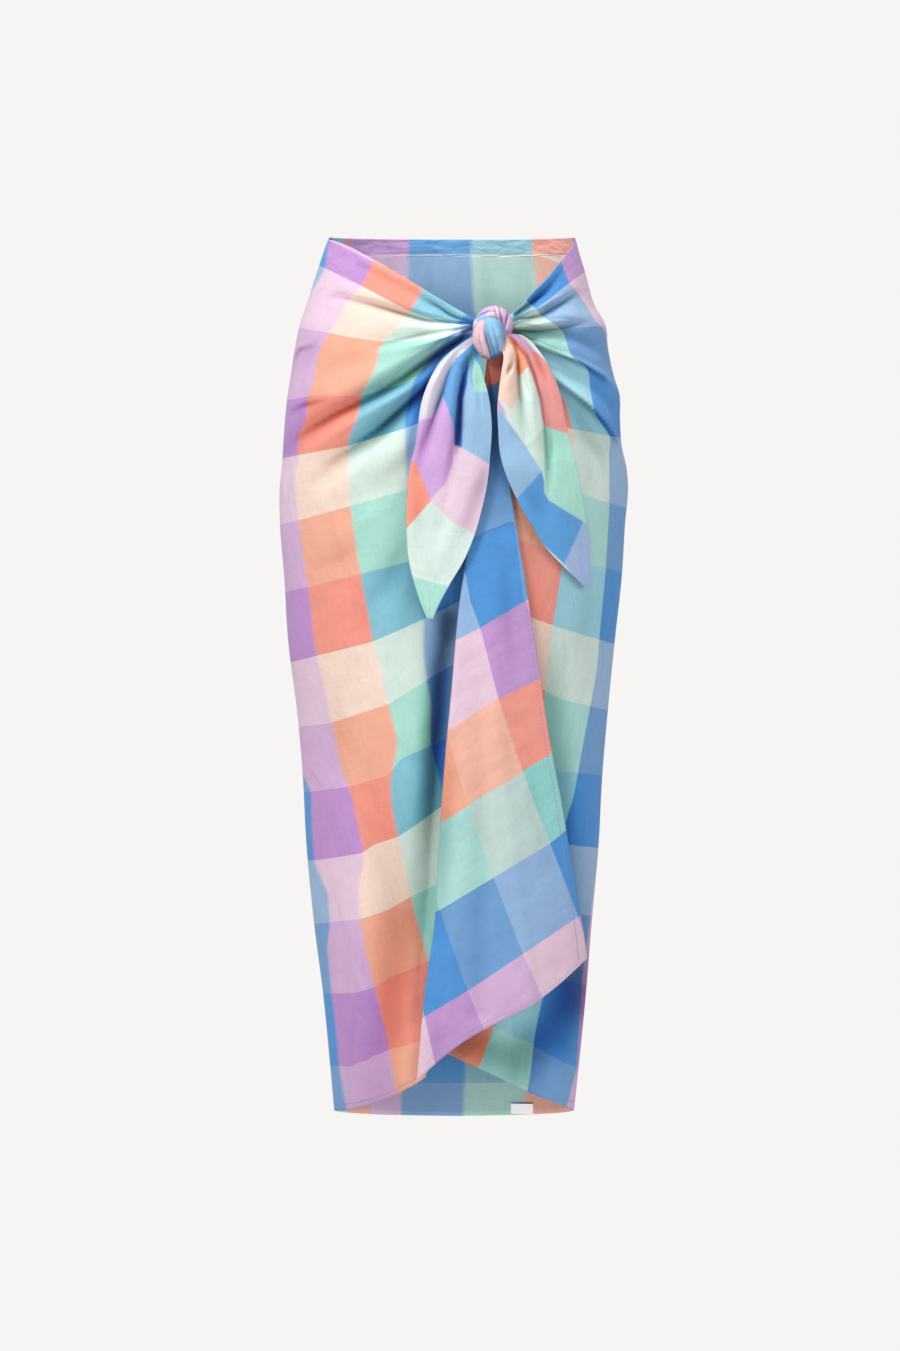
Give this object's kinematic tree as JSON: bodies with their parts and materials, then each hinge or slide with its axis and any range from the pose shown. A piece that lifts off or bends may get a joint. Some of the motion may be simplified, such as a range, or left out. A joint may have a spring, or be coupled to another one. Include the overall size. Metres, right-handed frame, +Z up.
{
  "type": "sarong",
  "caption": "Checked cotton sarong wound round the hips and knotted at the front, with a slanting overlap and hanging tied ends, hollow and open at the waist and hem.",
  "frame": {"origin": "middle of the waist opening, at the height where the cloth is held", "axes": "+Z up along the body, -Y to the front where the knot is, +X to the right as the front is seen"},
  "size_m": [0.3487, 0.2698, 0.881],
  "materials": {
    "checked_cotton": "matt plain-weave cotton",
    "label_tape": "matt woven tape"
  },
  "bodies": {
    "root": {"back_stretch": "checked_cotton", "front_left_stretch": "checked_cotton", "front_right_under_stretch": "checked_cotton", "overlap_stretch": "checked_cotton", "knot": "checked_cotton", "tail_left": "checked_cotton", "tail_right": "checked_cotton", "hem_label": "label_tape"}
  },
  "joints": []
}
